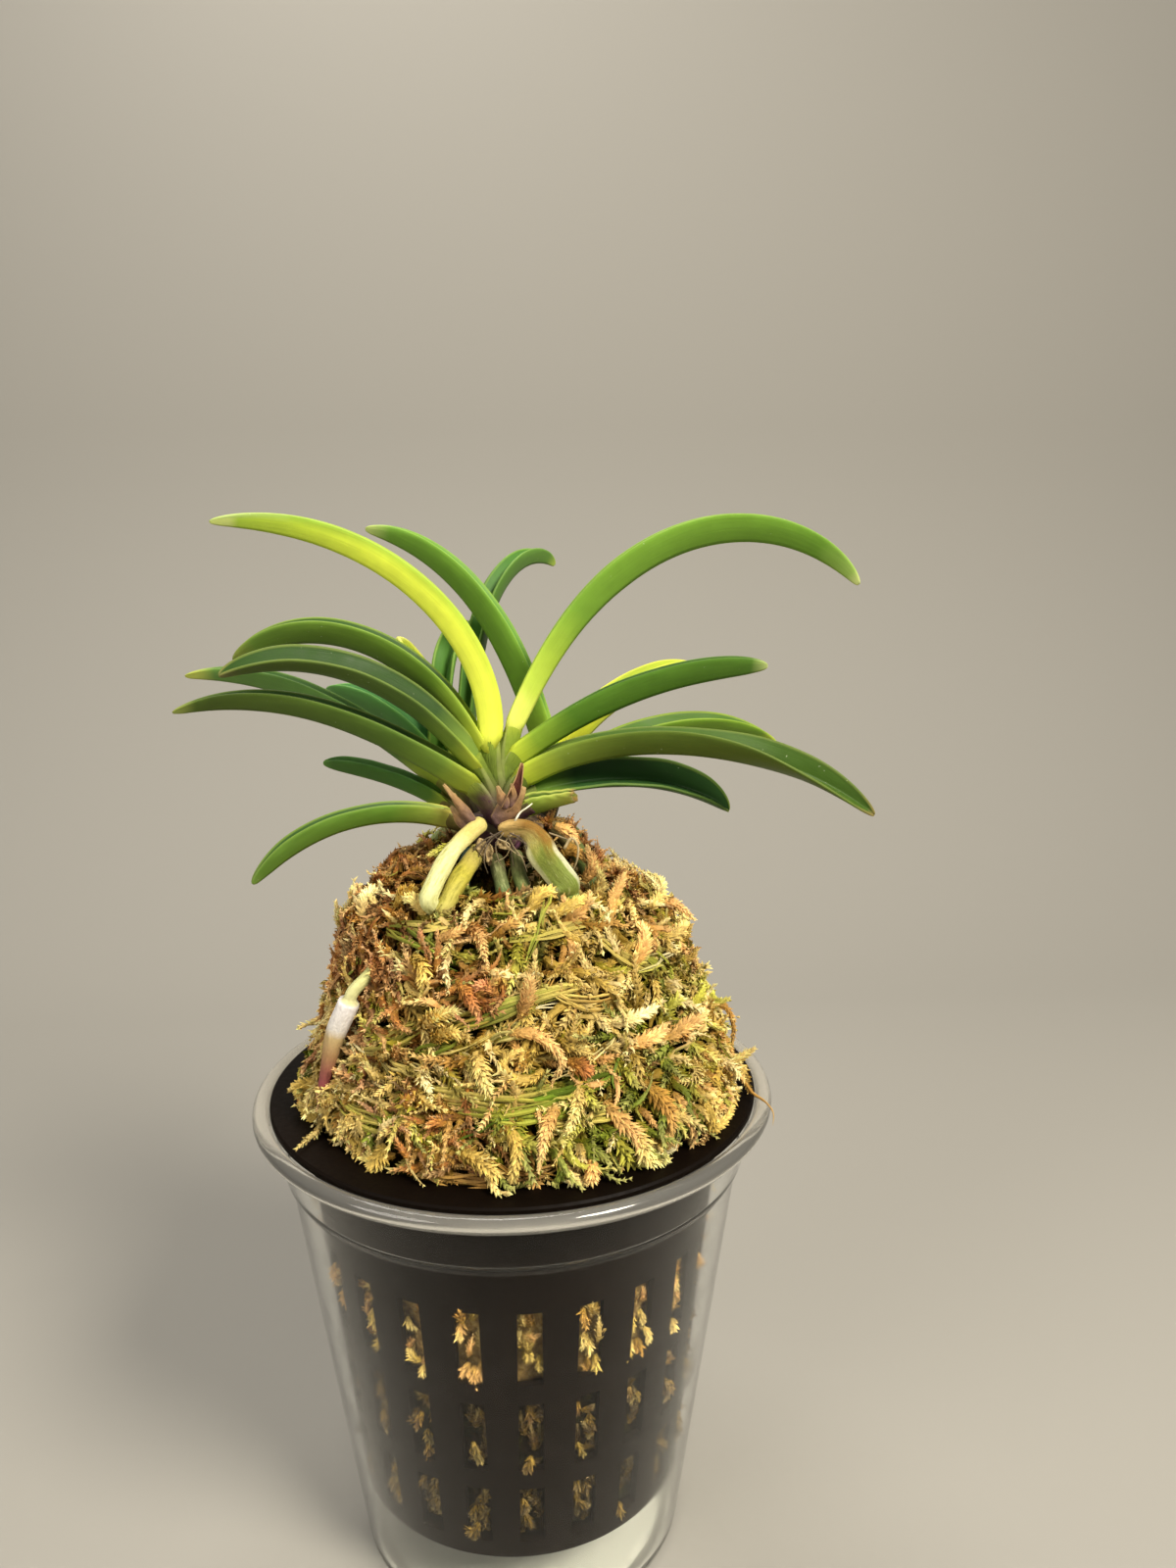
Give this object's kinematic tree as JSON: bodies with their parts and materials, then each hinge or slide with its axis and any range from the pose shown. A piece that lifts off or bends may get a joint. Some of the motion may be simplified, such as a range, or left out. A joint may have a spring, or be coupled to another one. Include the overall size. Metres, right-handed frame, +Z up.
{
  "type": "wind orchid in a pot",
  "caption": "Small potted wind orchid: arching folded leaves on a moss mound, in a slotted black net pot that hangs in a clear plastic cup.",
  "frame": {"origin": "centre of the cup's flat underside, on the surface that it stands on", "axes": "+Z up along the cup's axis, +X to the plant's right as seen from the front, -Y to the front"},
  "size_m": [0.1208, 0.0948, 0.1943],
  "materials": {
    "clear_plastic": "clear thin moulded plastic, smooth and glossy",
    "black_plastic": "satin black moulded plastic",
    "moss": "dry straw-coloured sphagnum with green and rusty strands",
    "sheath": "waxy leaf sheaths, lime above and purple-grey below",
    "dark_leaf": "waxy dark green leaf",
    "mid_leaf": "waxy mid green leaf",
    "lime_leaf": "waxy yellow-green leaf",
    "young_root": "cream root with a soft spongy skin",
    "old_root": "grey-green root with a spongy skin",
    "dry_bract": "papery dry reddish-brown bract"
  },
  "bodies": {
    "root": {"bract_left": "dry_bract", "bract_right": "dry_bract", "cup": "clear_plastic", "leaf_left_left_1": "lime_leaf", "leaf_left_left_2": "dark_leaf", "leaf_left_left_3": "dark_leaf", "leaf_left_left_4": "dark_leaf", "leaf_left_right_1": "dark_leaf", "leaf_left_right_2": "mid_leaf", "leaf_main_left_1": "lime_leaf", "leaf_main_left_2": "dark_leaf", "leaf_main_left_3": "dark_leaf", "leaf_main_left_4": "dark_leaf", "leaf_main_left_5": "dark_leaf", "leaf_main_right_1": "mid_leaf", "leaf_main_right_2": "dark_leaf", "leaf_main_right_3": "dark_leaf", "leaf_main_right_4": "dark_leaf", "leaf_main_right_5": "dark_leaf", "leaf_right_left_1": "mid_leaf", "leaf_right_right_1": "lime_leaf", "leaf_right_right_2": "mid_leaf", "moss": "moss", "net_pot": "black_plastic", "root_back_left": "old_root", "root_back_right": "old_root", "root_cream": "young_root", "root_dark": "old_root", "root_green": "old_root", "root_new": "young_root", "root_shade": "old_root", "root_side": "old_root", "root_strap": "old_root", "root_yellow": "young_root", "stem": "sheath"}
  },
  "joints": []
}
